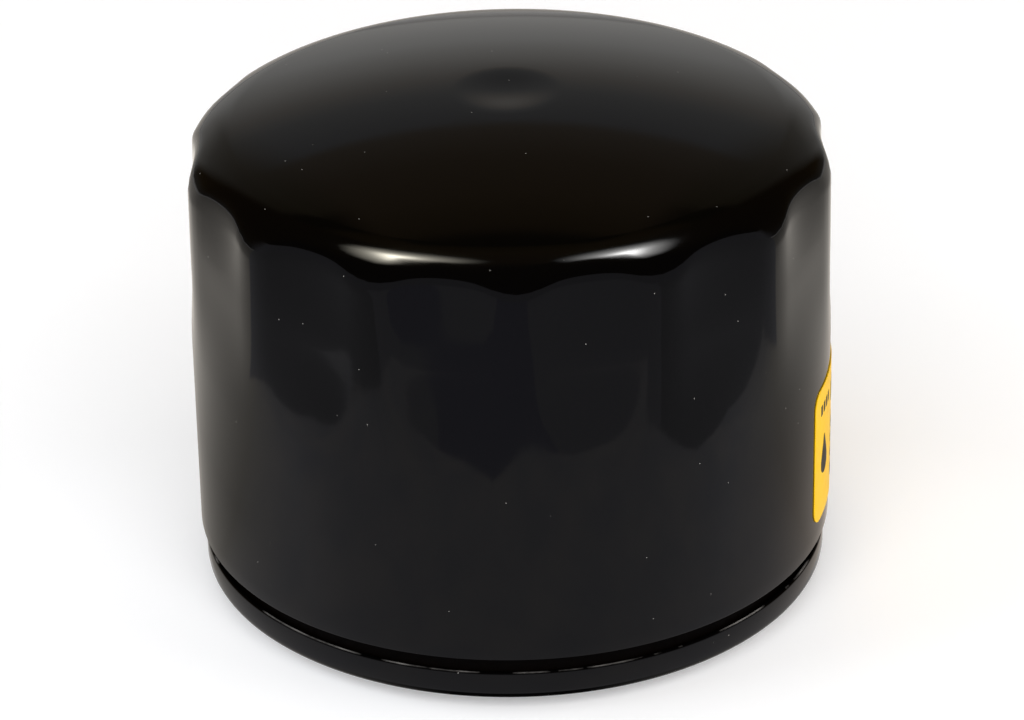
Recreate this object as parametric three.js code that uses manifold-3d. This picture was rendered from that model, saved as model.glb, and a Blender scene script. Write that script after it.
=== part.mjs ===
// Spin-on oil filter with a fluted can, for a small engine.
// Units are millimetres and +Z points from the sealing face to the dome. The origin is on the
// filter's axis, in the plane of the base gasket's sealing face.
import * as THREE from 'three';
import { mergeVertices } from 'three/addons/utils/BufferGeometryUtils.js';
import Module from 'manifold-3d';

const wasm = await Module();
wasm.setup();

// ---- Driving dimensions ------------------------------------------------------------------

const GAP = 0.3;                    // running gap between pieces that touch on the real filter

// Can
const CAN_RADIUS = 38;              // over the flute ridges, for a 76 mm cap wrench
const CAN_TOP = 61.9;               // apex that the dome would have without its dimple
const CAN_WALL = 0.8;
const CAN_STEP_Z = 7.45;            // underside of the step above the rolled seam
const CAN_STEP_FILLET = 0.2;
const WAIST_RADIUS = 35.8;          // narrowest part of the can, just under the step
const WAIST_Z = 6.4;                // lower end of the waist, from where the neck widens
const NECK_TOP = 4.7;
const NECK_RADIUS = 36.6;           // outside of the neck that goes into the seam
const NECK_BOTTOM = 3.6;
const DOME_RADIUS = 127;
const UPPER_SHOULDER = 13;          // the dome bends down softly to this slope ...
const BEND_CHANGE = THREE.MathUtils.degToRad(31.5);
const LOWER_SHOULDER = 4.7;         // ... and from there with this smaller radius to the wall
const DIMPLE_RADIUS = 6.75;
const DIMPLE_DEPTH = 0.35;

// Wrench flats round the upper half of the can
const FLUTES = 14;
const FLAT_APOTHEM = 37.33;         // distance from the axis to the middle of a flat
const FIRST_RIDGE = THREE.MathUtils.degToRad(1);
const FLATS_START = 31;             // the flats are nothing here ...
const FLATS_FULL = 44;              // ... and have their whole depth here
const FLATS_LEAN = 46;              // and from here they lean inwards, into the shoulder
const LEAN_RATE = 0.87 / 8;         // growth of their depth for each millimetre of height

// Seaming lid, which ends in the rolled seam and holds the gasket in a groove
const LID_SHEET = 0.7;
const SEAM_RADIUS = 37.45;
const SEAM_BOTTOM = 1.65;
const SEAM_TOP = 5.4;
const SEAM_WALL = 0.55;             // outer wall of the rolled seam
const SEAM_INNER_RADIUS = 34.7;
const LID_LEDGE_Z = 4.0;            // flat ring between the seam and the gasket groove
const LID_FLOOR_Z = 5.5;            // underside of the groove's floor
const LID_BEAD_Z = 3.4;             // lowest point of the bead inside the gasket
const LID_BORE_RADIUS = 22.6;

// Base gasket
const GASKET_INNER = 27;
const GASKET_OUTER = 31;
const GASKET_HEIGHT = LID_FLOOR_Z - GAP;

// Tapping plate with a 3/4-16 UNF threaded neck
const PLATE_RADIUS = 34.5;
const PLATE_BOTTOM = LID_FLOOR_Z + LID_SHEET + GAP;
const PLATE_THICKNESS = 2.8;
const PLATE_TOP = PLATE_BOTTOM + PLATE_THICKNESS;
const NECK_OUTER = 12;
const NECK_HEIGHT = 6.5;
const THREAD_MAJOR = 19.05 / 2;
const THREAD_MINOR = 17.4 / 2;      // the bore is modelled plain, at the thread's minor diameter
const INLETS = 8;
const INLET_RADIUS = 2.75;
const INLET_CIRCLE = 18.5;

// Anti-drainback valve
const COLLAR_OUTER = 15.5;
const FLAP_OUTER = 26;
const FLAP_THICKNESS = 1;

// Filter element
const CAP_SHEET = 0.6;
const CAP_RADIUS = 32;
const LOWER_CAP_Z = 14;             // underside of the lower end cap
const UPPER_CAP_Z = 51;             // underside of the upper end cap
const CAP_RIM = 3;                  // height of each cap's outer rim
const POTTING = 1.8;
const TUBE_INNER = 14;
const TUBE_WALL = 0.8;
const PLEATS = 48;
const PAPER = 0.6;
const MEDIA_INNER = TUBE_INNER + TUBE_WALL + GAP;
const MEDIA_OUTER = 30.8;

// Bypass valve in the upper end cap
const VALVE_FLANGE_RADIUS = 12;
const VALVE_SHEET = 0.6;
const CAGE_OUTER = 9;
const CAGE_BOTTOM = 39.4;
const PORT_RADIUS = 5;
const POPPET_RADIUS = 7.6;
const POPPET_TOP = 50.6;
const STEM_RADIUS = 1.6;
const BYPASS_WIRE = 0.9;

// Element spring
const ELEMENT_WIRE = 1.8;

// Label
const LABEL_START = THREE.MathUtils.degToRad(68.5);
const LABEL_LENGTH = 50;
const LABEL_BOTTOM = 10.3;
const LABEL_TOP = 27.8;
const LABEL_CORNER = 2;
const LABEL_THICKNESS = 0.15;
const LABEL_CLEARANCE = 0.1;

// ---- Materials ---------------------------------------------------------------------------

const material = (color, roughness, metalness) =>
  new THREE.MeshStandardMaterial({ color, roughness, metalness });

const blackPaint = () => material(0x0b0b0c, 0.25, 0.1);
const zincPlate = () => material(0xb9b4a4, 0.38, 1);
const tinnedSheet = () => material(0xa8abad, 0.35, 1);
const springSteel = () => material(0x6f7377, 0.35, 1);
const nitrileRubber = () => material(0x151515, 0.65, 0);
const siliconeRubber = () => material(0xb5452c, 0.55, 0);
const paper = () => material(0xd9b46a, 0.9, 0);
const plastisol = () => material(0x8c2f25, 0.6, 0);
const yellowFilm = () => material(0xf2b705, 0.4, 0);

// ---- Geometry helpers --------------------------------------------------------------------

const group = new THREE.Group();
const point = (r, z) => new THREE.Vector2(r, z);

function place(name, geometry, meshMaterial) {
  const mesh = new THREE.Mesh(geometry, meshMaterial);
  mesh.name = name;
  group.add(mesh);
  return mesh;
}

// Turns a profile of (radius, height) points round the Z axis. A closed profile ends where it
// starts, and an open one starts and ends on the axis.
function revolve(profile, segments, start = 0) {
  const points = THREE.ShapeUtils.area(profile) < 0 ? [...profile].reverse() : profile;
  const geometry = new THREE.LatheGeometry(points, segments, start, 2 * Math.PI);
  return geometry.rotateX(Math.PI / 2);
}

const closed = (profile) => [...profile, profile[0].clone()];
const ring = (inner, outer, bottom, top) => closed([
  point(inner, bottom), point(outer, bottom), point(outer, top), point(inner, top),
]);

// Points on an arc from one angle to another, both ends included. Angles are in degrees from
// the outward radial direction, counter-clockwise towards +Z.
function arc(r, z, radius, from, to, steps) {
  return Array.from({ length: steps + 1 }, (_, i) => {
    const a = THREE.MathUtils.degToRad(from + (to - from) * i / steps);
    return point(r + radius * Math.cos(a), z + radius * Math.sin(a));
  });
}

// A closed profile of even thickness on both sides of a bent centre line.
function sheet(line, thickness) {
  const side = (sign) => line.map((p, i) => {
    const before = i > 0 ? p.clone().sub(line[i - 1]).normalize() : null;
    const after = i < line.length - 1 ? line[i + 1].clone().sub(p).normalize() : null;
    const a = before ?? after;
    const b = after ?? before;
    const normal = point(-(a.y + b.y), a.x + b.x).normalize();
    const miter = thickness / 2 / normal.dot(point(-a.y, a.x));
    return p.clone().addScaledVector(normal, sign * miter);
  });
  return closed([...side(1), ...side(-1).reverse()]);
}

// A solid for cutting and joining.
function toSolid(geometry) {
  const bare = geometry.clone();
  bare.deleteAttribute('normal');
  bare.deleteAttribute('uv');
  const merged = mergeVertices(bare, 1e-4);
  return new wasm.Manifold(new wasm.Mesh({
    numProp: 3,
    vertProperties: new Float32Array(merged.attributes.position.array),
    triVerts: new Uint32Array(merged.index.array),
  }));
}

function toGeometry(manifold) {
  const mesh = manifold.getMesh();
  const geometry = new THREE.BufferGeometry();
  geometry.setAttribute('position', new THREE.BufferAttribute(mesh.vertProperties, 3));
  geometry.setIndex(new THREE.BufferAttribute(mesh.triVerts, 1));
  geometry.computeVertexNormals();
  return geometry;
}

function cut(geometry, tools) {
  const rest = tools.reduce((body, tool) => body.subtract(toSolid(tool)), toSolid(geometry));
  return toGeometry(rest);
}

const upright = (radius, length, sides) =>
  new THREE.CylinderGeometry(radius, radius, length, sides).rotateX(Math.PI / 2);

// Moves each vertex of a geometry to where the function says, given the vertex and its index.
function reshape(geometry, move) {
  const position = geometry.attributes.position;
  const v = new THREE.Vector3();
  for (let i = 0; i < position.count; i += 1) {
    move(v.fromBufferAttribute(position, i), i);
    position.setXYZ(i, v.x, v.y, v.z);
  }
  geometry.computeVertexNormals();
  return geometry;
}

// The centre line of a coil of round wire. Its radius and height are functions of the number of
// turns so far.
class CoilLine extends THREE.Curve {
  constructor(turns, radiusAt, heightAt) {
    super();
    Object.assign(this, { turns, radiusAt, heightAt });
  }

  getPoint(t, target = new THREE.Vector3()) {
    const turn = t * this.turns;
    const angle = 2 * Math.PI * turn;
    const r = this.radiusAt(turn);
    return target.set(r * Math.cos(angle), r * Math.sin(angle), this.heightAt(turn));
  }
}

// ---- Can ---------------------------------------------------------------------------------

// The shoulder is two arcs, tangent to each other, to the wall and to the dome.
const shoulder = (() => {
  const lowerR = CAN_RADIUS - LOWER_SHOULDER;
  const upperR = lowerR - (UPPER_SHOULDER - LOWER_SHOULDER) * Math.sin(BEND_CHANGE);
  const domeSlope = Math.asin(upperR / (DOME_RADIUS - UPPER_SHOULDER));
  const domeZ = CAN_TOP - DOME_RADIUS;
  const upperZ = domeZ + (DOME_RADIUS - UPPER_SHOULDER) * Math.cos(domeSlope);
  const lowerZ = upperZ + (UPPER_SHOULDER - LOWER_SHOULDER) * Math.cos(BEND_CHANGE);
  return { lowerR, lowerZ, upperR, upperZ, domeSlope, domeZ };
})();

// How far the wall is pressed in at an angle and a height by the flats.
function flatDepth(angle, z) {
  const pitch = 2 * Math.PI / FLUTES;
  const fromRidge = THREE.MathUtils.euclideanModulo(angle - FIRST_RIDGE, pitch);
  const flat = Math.min(FLAT_APOTHEM / Math.cos(fromRidge - pitch / 2), CAN_RADIUS);
  const lean = 1 + LEAN_RATE * Math.max(z - FLATS_LEAN, 0);
  return (CAN_RADIUS - flat) * lean * THREE.MathUtils.smoothstep(z, FLATS_START, FLATS_FULL);
}

// The can's line from the foot of the shoulder to the axis, set in from the outer surface.
function topLine(inset, steps) {
  const { lowerR, lowerZ, upperR, upperZ, domeSlope, domeZ } = shoulder;
  const change = 90 - THREE.MathUtils.radToDeg(BEND_CHANGE);
  const edge = 90 - THREE.MathUtils.radToDeg(domeSlope);
  const radius = DOME_RADIUS - inset;
  const rim = radius * Math.sin(domeSlope);
  const dome = Array.from({ length: steps.dome }, (_, i) =>
    rim - (rim - DIMPLE_RADIUS) * (i + 1) / steps.dome);
  const dimple = [0.6, 0].map((f) => f * DIMPLE_RADIUS);
  return [
    ...arc(lowerR, lowerZ, LOWER_SHOULDER - inset, 0, change, steps.lower),
    ...arc(upperR, upperZ, UPPER_SHOULDER - inset, change, edge, steps.upper).slice(1),
    ...[...dome, ...dimple].map((r) => {
      const f = Math.min(r / DIMPLE_RADIUS, 1);
      const sunk = DIMPLE_DEPTH * (1 - f * f) ** 2;
      return point(r, domeZ + Math.sqrt(radius * radius - r * r) - sunk);
    }),
  ];
}

function makeCan() {
  const heights = [FLATS_START, 35, 39.5, FLATS_FULL, FLATS_LEAN];
  const innerRadius = CAN_RADIUS - CAN_WALL;
  const outer = [
    point(NECK_RADIUS, NECK_BOTTOM),
    point(NECK_RADIUS, NECK_TOP),
    point(WAIST_RADIUS, WAIST_Z),
    point(WAIST_RADIUS, CAN_STEP_Z),
    point(CAN_RADIUS - CAN_STEP_FILLET, CAN_STEP_Z),
    point(CAN_RADIUS, CAN_STEP_Z + CAN_STEP_FILLET),
    ...heights.map((z) => point(CAN_RADIUS, z)),
    ...topLine(0, { lower: 4, upper: 2, dome: 3 }),
  ];
  const inner = [
    point(NECK_RADIUS - CAN_WALL, NECK_BOTTOM),
    point(NECK_RADIUS - CAN_WALL, NECK_TOP - 0.2),
    point(WAIST_RADIUS - CAN_WALL, WAIST_Z - 0.2),
    point(WAIST_RADIUS - CAN_WALL, CAN_STEP_Z + 0.5),
    point(WAIST_RADIUS - CAN_WALL + 0.3, CAN_STEP_Z + CAN_WALL),
    point(innerRadius - 0.3, CAN_STEP_Z + CAN_WALL),
    point(innerRadius, CAN_STEP_Z + CAN_WALL + 0.3),
    ...heights.map((z) => point(innerRadius, z)),
    ...topLine(CAN_WALL, { lower: 3, upper: 1, dome: 2 }),
  ];
  const profile = closed([...outer, ...inner.reverse()]);
  return reshape(revolve(profile, FLUTES * 4, FIRST_RIDGE), (v, i) => {
    const r = Math.hypot(v.x, v.y);
    const depth = flatDepth(Math.atan2(v.x, -v.y), v.z);
    const skin = i % profile.length < outer.length ? 0 : CAN_WALL;
    const scale = Math.min(r, CAN_RADIUS - skin - depth) / r;
    v.x *= scale;
    v.y *= scale;
  });
}

place('can', makeCan(), blackPaint());

// ---- Seaming lid and its compound --------------------------------------------------------

function makeLid() {
  const half = LID_SHEET / 2;
  const channelTop = SEAM_BOTTOM + LID_SHEET;
  const wallLine = SEAM_INNER_RADIUS + half;
  const ledge = LID_LEDGE_Z + half;
  const floor = LID_FLOOR_Z + half;
  const grooveOuter = GASKET_OUTER + GAP + half;
  const grooveInner = GASKET_INNER - GAP - half;
  const bead = LID_BEAD_Z + half;
  const line = [
    point(LID_BORE_RADIUS, floor),
    point(grooveInner - 2.1, floor),
    point(grooveInner - 1.1, bead),
    point(grooveInner, bead),
    point(grooveInner, floor),
    point(grooveOuter, floor),
    point(grooveOuter, ledge),
    point(wallLine, ledge),
    point(wallLine, channelTop + 0.4),
  ];
  const stamped = sheet(line, LID_SHEET);
  // The rolled seam: a channel round the can's neck, with a rounded lower outer corner.
  const inside = SEAM_INNER_RADIUS + LID_SHEET;
  const seam = closed([
    point(SEAM_INNER_RADIUS, channelTop + 1),
    ...arc(SEAM_INNER_RADIUS + 0.5, SEAM_BOTTOM + 0.5, 0.5, 180, 270, 2),
    ...arc(SEAM_RADIUS - 1.3, SEAM_BOTTOM + 1.3, 1.3, -90, 0, 4),
    ...arc(SEAM_RADIUS - 0.25, SEAM_TOP - 0.25, 0.25, 0, 90, 1),
    point(SEAM_RADIUS - SEAM_WALL, SEAM_TOP),
    point(SEAM_RADIUS - SEAM_WALL, channelTop),
    point(inside, channelTop),
    point(inside, channelTop + 1),
  ]);
  const segments = 36;
  return toGeometry(toSolid(revolve(stamped, segments)).add(toSolid(revolve(seam, segments))));
}

place('seaming_lid', makeLid(), blackPaint());

place('seam_compound', revolve(ring(
  NECK_RADIUS - CAN_WALL, NECK_RADIUS,
  SEAM_BOTTOM + LID_SHEET + 0.3, NECK_BOTTOM - GAP,
), 36), plastisol());

// ---- Base gasket -------------------------------------------------------------------------

const gasketChamfer = 0.25;
place('base_gasket', revolve(closed([
  point(GASKET_INNER, gasketChamfer),
  point(GASKET_INNER + gasketChamfer, 0),
  point(GASKET_OUTER - gasketChamfer, 0),
  point(GASKET_OUTER, gasketChamfer),
  point(GASKET_OUTER, GASKET_HEIGHT),
  point(GASKET_INNER, GASKET_HEIGHT),
]), 36), nitrileRubber());

// ---- Tapping plate -----------------------------------------------------------------------

function makePlate() {
  const neckTop = PLATE_TOP + NECK_HEIGHT;
  const chamfer = THREAD_MAJOR - THREAD_MINOR;
  const profile = closed([
    point(THREAD_MINOR + chamfer, PLATE_BOTTOM),
    point(PLATE_RADIUS - 0.4, PLATE_BOTTOM),
    point(PLATE_RADIUS, PLATE_BOTTOM + 0.4),
    point(PLATE_RADIUS, PLATE_TOP),
    point(NECK_OUTER, PLATE_TOP),
    point(NECK_OUTER, neckTop - 0.6),
    point(NECK_OUTER - 0.6, neckTop),
    point(THREAD_MINOR + chamfer, neckTop),
    point(THREAD_MINOR, neckTop - chamfer),
    point(THREAD_MINOR, PLATE_BOTTOM + chamfer),
  ]);
  const inlets = Array.from({ length: INLETS }, (_, i) => {
    const angle = 2 * Math.PI * i / INLETS;
    return upright(INLET_RADIUS, PLATE_THICKNESS + 2, 12).translate(
      INLET_CIRCLE * Math.cos(angle), INLET_CIRCLE * Math.sin(angle),
      PLATE_BOTTOM + PLATE_THICKNESS / 2,
    );
  });
  return cut(revolve(profile, 36), inlets);
}

place('tapping_plate', makePlate(), zincPlate());

// ---- Anti-drainback valve ----------------------------------------------------------------

// The collar is clamped between the tapping plate and the lower end cap.
const collarBottom = PLATE_TOP + GAP;
const collarTop = LOWER_CAP_Z - GAP;
place('drainback_valve_collar', revolve(closed([
  point(NECK_OUTER + GAP, collarBottom + 0.5),
  point(NECK_OUTER + GAP + 0.5, collarBottom),
  point(COLLAR_OUTER, collarBottom),
  point(COLLAR_OUTER, collarTop),
  point(NECK_OUTER + GAP, collarTop),
]), 36), siliconeRubber());

// The flap is a shallow cone whose lip rests on the plate outside the inlet holes.
const flapRoot = collarBottom + 1.9;
const flapInner = COLLAR_OUTER + GAP;
place('drainback_valve_flap', revolve(closed([
  point(flapInner, flapRoot),
  point(FLAP_OUTER - 2.5, collarBottom + 0.25),
  point(FLAP_OUTER - 0.4, collarBottom),
  point(FLAP_OUTER, collarBottom + 0.4),
  point(FLAP_OUTER - 0.2, collarBottom + FLAP_THICKNESS - 0.1),
  point(FLAP_OUTER - 2.5, collarBottom + FLAP_THICKNESS + 0.25),
  point(flapInner, flapRoot + FLAP_THICKNESS),
]), 36), siliconeRubber());

// ---- Filter element ----------------------------------------------------------------------

const capLine = (inner, innerRim, z, direction) => {
  const middle = z + CAP_SHEET / 2;
  const rimRadius = CAP_RADIUS - CAP_SHEET / 2;
  const rim = point(rimRadius, middle + direction * CAP_RIM);
  const turnedUp = innerRim ? [point(inner, middle + direction * innerRim)] : [];
  return sheet([
    ...turnedUp,
    point(inner, middle),
    point(rimRadius - 0.8, middle),
    point(rimRadius, middle + direction * 0.8),
    rim,
  ], CAP_SHEET);
};

const lowerBore = NECK_OUTER + 2 * GAP + CAP_SHEET / 2;
place('lower_end_cap', revolve(capLine(lowerBore, 1.6, LOWER_CAP_Z, 1), 36), tinnedSheet());
place('upper_end_cap', revolve(capLine(CAGE_OUTER + 0.4, 0, UPPER_CAP_Z, -1), 36), tinnedSheet());

const lowerPotting = LOWER_CAP_Z + CAP_SHEET + GAP;
const upperPotting = UPPER_CAP_Z - GAP - POTTING;
const pottingOuter = CAP_RADIUS - CAP_SHEET - 0.8;
for (const [name, z] of [['lower_potting', lowerPotting], ['upper_potting', upperPotting]]) {
  place(name, revolve(ring(MEDIA_INNER, pottingOuter, z, z + POTTING), 36), plastisol());
}

// Folded filter paper: the outline goes round the outside of the folds and its hole round the
// inside. Each fold is a narrow bridge at the outer radius and another at the inner radius.
function pleatOutline(outerRadius, outerHalf, innerRadius, innerHalf, PathType) {
  const outline = [];
  for (let i = 0; i < PLEATS; i += 1) {
    const tip = 2 * Math.PI * i / PLEATS;
    const valley = tip + Math.PI / PLEATS;
    const corners = [
      [outerRadius, tip - outerHalf / outerRadius], [outerRadius, tip + outerHalf / outerRadius],
      [innerRadius, valley - innerHalf / innerRadius],
      [innerRadius, valley + innerHalf / innerRadius],
    ];
    for (const [r, a] of corners) {
      const [x, y] = [r * Math.cos(a), r * Math.sin(a)];
      outline.push(new THREE.Vector2(x, y));
    }
  }
  const path = new PathType(outline);
  path.closePath();
  return path;
}

const pleatTipHalf = 0.3;           // half of the space inside a fold at its outer tip
const pleatRootHalf = 0.22;         // half of the space between folds at the centre tube
const mediaBottom = lowerPotting + POTTING + GAP;
const mediaTop = upperPotting - GAP;
const mediaShape = pleatOutline(
  MEDIA_OUTER, pleatTipHalf + PAPER, MEDIA_INNER + PAPER, pleatRootHalf, THREE.Shape,
);
mediaShape.holes.push(pleatOutline(
  MEDIA_OUTER - PAPER, pleatTipHalf, MEDIA_INNER, pleatRootHalf + PAPER, THREE.Path,
));
place('pleated_media', new THREE.ExtrudeGeometry(
  mediaShape, { depth: mediaTop - mediaBottom, bevelEnabled: false },
).translate(0, 0, mediaBottom), paper());

// A folded strip that clamps the two ends of the paper together, over one outer fold.
function makeSeamClip() {
  const sheetMetal = 0.35;
  const inner = pleatTipHalf + PAPER + 0.25;
  const outer = inner + sheetMetal;
  const bridge = MEDIA_OUTER + GAP;
  const depth = 4;
  const shape = new THREE.Shape([
    point(bridge - depth, inner), point(bridge, inner), point(bridge, -inner),
    point(bridge - depth, -inner), point(bridge - depth, -outer),
    point(bridge + sheetMetal, -outer), point(bridge + sheetMetal, outer),
    point(bridge - depth, outer),
  ]);
  const bottom = LOWER_CAP_Z + CAP_RIM + CAP_SHEET + GAP;
  const length = UPPER_CAP_Z - CAP_RIM - GAP - bottom;
  return new THREE.ExtrudeGeometry(shape, { depth: length, bevelEnabled: false })
    .translate(0, 0, bottom);
}

place('media_seam_clip', makeSeamClip(), tinnedSheet());

// The centre tube has four rows of holes, staggered from row to row.
function makeCenterTube() {
  const bottom = lowerPotting;
  const top = UPPER_CAP_Z - GAP;
  const rows = 4;
  const drillsPerRow = 3;           // each drill goes through both walls
  const holeRadius = 2.6;
  const drills = [];
  for (let row = 0; row < rows; row += 1) {
    for (let i = 0; i < drillsPerRow; i += 1) {
      const angle = Math.PI * (i + (row % 2) / 2) / drillsPerRow;
      drills.push(new THREE.CylinderGeometry(holeRadius, holeRadius, 4 * TUBE_INNER, 8)
        .rotateZ(angle)
        .translate(0, 0, THREE.MathUtils.lerp(bottom, top, (row + 1) / (rows + 1))));
    }
  }
  return cut(revolve(ring(TUBE_INNER, TUBE_INNER + TUBE_WALL, bottom, top), 24), drills);
}

place('center_tube', makeCenterTube(), tinnedSheet());

// ---- Bypass valve ------------------------------------------------------------------------

const flangeZ = UPPER_CAP_Z + CAP_SHEET + GAP;
const seatZ = flangeZ + VALVE_SHEET + GAP;

// A cup that hangs in the centre tube, with three windows in its wall and a guide hole below.
function makeCage() {
  const half = VALVE_SHEET / 2;
  const line = [
    point(STEM_RADIUS + 0.4, CAGE_BOTTOM + half),
    point(CAGE_OUTER - half - 0.6, CAGE_BOTTOM + half),
    point(CAGE_OUTER - half, CAGE_BOTTOM + half + 0.6),
    point(CAGE_OUTER - half, flangeZ + half),
    point(VALVE_FLANGE_RADIUS, flangeZ + half),
  ];
  const windowTop = POPPET_TOP - 0.7;
  const windowHeight = windowTop - CAGE_BOTTOM - 2.6;
  const windows = [0, 1, 2].map((i) => new THREE.BoxGeometry(6, 10, windowHeight)
    .translate(CAGE_OUTER, 0, windowTop - windowHeight / 2)
    .rotateZ(2 * Math.PI * i / 3));
  return cut(revolve(sheet(line, VALVE_SHEET), 30), windows);
}

place('bypass_valve_cage', makeCage(), tinnedSheet());

// The seat is a ring with a land round its port, which the rubber disc closes from below.
const landBottom = flangeZ + 0.3;
place('bypass_valve_seat', revolve(closed([
  point(PORT_RADIUS, landBottom + 0.2),
  point(PORT_RADIUS + 0.2, landBottom),
  point(PORT_RADIUS + 0.8, landBottom),
  point(PORT_RADIUS + 0.8, seatZ),
  point(VALVE_FLANGE_RADIUS, seatZ),
  point(VALVE_FLANGE_RADIUS, seatZ + VALVE_SHEET),
  point(PORT_RADIUS + 0.3, seatZ + VALVE_SHEET),
  point(PORT_RADIUS, seatZ + VALVE_SHEET - 0.3),
]), 30), tinnedSheet());

const sealTop = landBottom - GAP;
place('bypass_valve_seal', revolve([
  point(0, POPPET_TOP + GAP), point(POPPET_RADIUS - 0.6, POPPET_TOP + GAP),
  point(POPPET_RADIUS - 0.6, sealTop), point(0, sealTop),
], 24), nitrileRubber());

// A dished disc on a stem. The stem slides in the cage's guide hole.
const stemBottom = CAGE_BOTTOM - 1;
place('bypass_valve_poppet', revolve([
  point(0, stemBottom),
  point(STEM_RADIUS - 0.4, stemBottom),
  point(STEM_RADIUS, stemBottom + 0.4),
  point(STEM_RADIUS, POPPET_TOP - 1.6),
  point(STEM_RADIUS + 0.8, POPPET_TOP - 0.8),
  point(POPPET_RADIUS - 0.3, POPPET_TOP - 0.8),
  point(POPPET_RADIUS, POPPET_TOP - 0.5),
  point(POPPET_RADIUS, POPPET_TOP),
  point(0, POPPET_TOP),
], 24), springSteel());

function coilSpring(line, wire, stepsPerTurn, sides) {
  const section = new THREE.Shape().absarc(0, 0, wire / 2, 0, 2 * Math.PI);
  return new THREE.ExtrudeGeometry(section, {
    extrudePath: line,
    steps: Math.round(line.turns * stepsPerTurn),
    curveSegments: sides / 2,
  });
}

const bypassCoilRadius = 4.6;
const bypassTurns = 5;
const closeTurn = 1;                // rise of each end turn, which lies near its neighbour
const bypassLow = CAGE_BOTTOM + VALVE_SHEET + GAP + BYPASS_WIRE / 2;
const bypassHigh = POPPET_TOP - 0.8 - GAP - BYPASS_WIRE / 2;

function bypassHeight(turn) {
  if (turn < 1) return bypassLow + closeTurn * turn;
  if (turn > bypassTurns - 1) return bypassHigh - closeTurn * (bypassTurns - turn);
  const share = (turn - 1) / (bypassTurns - 2);
  return THREE.MathUtils.lerp(bypassLow + closeTurn, bypassHigh - closeTurn, share);
}

place('bypass_valve_spring', coilSpring(
  new CoilLine(bypassTurns, () => bypassCoilRadius, bypassHeight), BYPASS_WIRE, 12, 6,
), springSteel());

// ---- Element spring ----------------------------------------------------------------------

// A conical spring between the upper end cap and the dome, wound round the dome's dimple. Each
// end turn is a flat spiral, whose turns clear each other because the radius keeps changing.
const elementSpringBase = 15.6;
const elementSpringTop = 8.8;
const elementTurns = 3.5;
const elementLow = flangeZ + ELEMENT_WIRE / 2;
const springSeatZ = shoulder.domeZ + Math.sqrt((DOME_RADIUS - CAN_WALL) ** 2 - elementSpringTop ** 2);
const elementHigh = springSeatZ - GAP - ELEMENT_WIRE / 2;

const elementRadius = (turn) =>
  THREE.MathUtils.lerp(elementSpringBase, elementSpringTop, turn / elementTurns);
const elementHeight = (turn) => THREE.MathUtils.lerp(
  elementLow, elementHigh, THREE.MathUtils.smoothstep(turn, 1, elementTurns - 1),
);
place('element_spring', coilSpring(
  new CoilLine(elementTurns, elementRadius, elementHeight), ELEMENT_WIRE, 14, 6,
), springSteel());

// ---- Label -------------------------------------------------------------------------------

// A thin patch bent round the plain lower part of the can, with rounded corners.
function makeLabel() {
  const inner = CAN_RADIUS + LABEL_CLEARANCE;
  const columns = [0, 0.3, 1].map((f) => f * LABEL_CORNER);
  const plain = 16;
  const flats = Array.from({ length: plain }, (_, i) =>
    LABEL_CORNER + (LABEL_LENGTH - 2 * LABEL_CORNER) * (i + 1) / plain);
  const places = [...columns, ...flats, ...[0.3, 0].map((f) => LABEL_LENGTH - f * LABEL_CORNER)];
  const patch = new THREE.BoxGeometry(1, 1, 1, places.length - 1, 1, 1);
  const height = LABEL_TOP - LABEL_BOTTOM;
  return reshape(patch, (v) => {
    const along = places[Math.round((v.x + 0.5) * (places.length - 1))];
    const fromEnd = Math.min(along, LABEL_LENGTH - along, LABEL_CORNER);
    const shorter = LABEL_CORNER
      - Math.sqrt(LABEL_CORNER ** 2 - (LABEL_CORNER - fromEnd) ** 2);
    const z = (LABEL_BOTTOM + LABEL_TOP) / 2 + v.y * (height - 2 * shorter);
    const r = inner + (v.z + 0.5) * LABEL_THICKNESS;
    const angle = LABEL_START + along / CAN_RADIUS;
    v.set(r * Math.sin(angle), -r * Math.cos(angle), z);
  });
}

place('label', makeLabel(), yellowFilm());

export default group;
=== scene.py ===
"""The finished look of a spin-on oil filter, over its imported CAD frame, on a white set.

Sizes of the pieces are in millimetres in the (radius, height) outlines below, and the meshes are
made in metres. An angle round the filter is 0 at -Y and grows towards +X.
"""

from math import asin, atan2, ceil, cos, degrees, pi, radians, sin, sqrt, tan

import bmesh
import bpy
from mathutils import Matrix, Vector


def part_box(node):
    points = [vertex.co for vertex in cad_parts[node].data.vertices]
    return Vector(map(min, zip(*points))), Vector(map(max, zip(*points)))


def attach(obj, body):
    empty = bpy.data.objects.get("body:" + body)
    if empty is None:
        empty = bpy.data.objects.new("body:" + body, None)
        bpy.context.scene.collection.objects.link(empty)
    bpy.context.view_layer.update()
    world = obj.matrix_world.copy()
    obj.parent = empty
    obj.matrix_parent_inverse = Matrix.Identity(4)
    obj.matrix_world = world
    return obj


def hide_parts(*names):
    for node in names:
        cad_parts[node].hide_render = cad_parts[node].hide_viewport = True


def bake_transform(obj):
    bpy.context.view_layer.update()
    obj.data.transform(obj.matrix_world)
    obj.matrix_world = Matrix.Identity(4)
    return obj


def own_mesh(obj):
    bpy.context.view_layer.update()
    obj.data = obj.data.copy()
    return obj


MM = 0.001

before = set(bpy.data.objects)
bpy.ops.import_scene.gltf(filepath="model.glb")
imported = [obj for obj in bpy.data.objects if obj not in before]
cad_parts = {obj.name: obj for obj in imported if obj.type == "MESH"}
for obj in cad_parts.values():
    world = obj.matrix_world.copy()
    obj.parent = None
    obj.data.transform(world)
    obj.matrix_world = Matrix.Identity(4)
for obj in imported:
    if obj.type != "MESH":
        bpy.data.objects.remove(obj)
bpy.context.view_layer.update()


# ---- Sizes read from the frame ---------------------------------------------------------------

def reach(node):
    """The greatest distance of a round CAD node from the filter's axis."""
    low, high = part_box(node)
    return round(max(-low.x, high.x, -low.y, high.y) / MM, 1)


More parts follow.
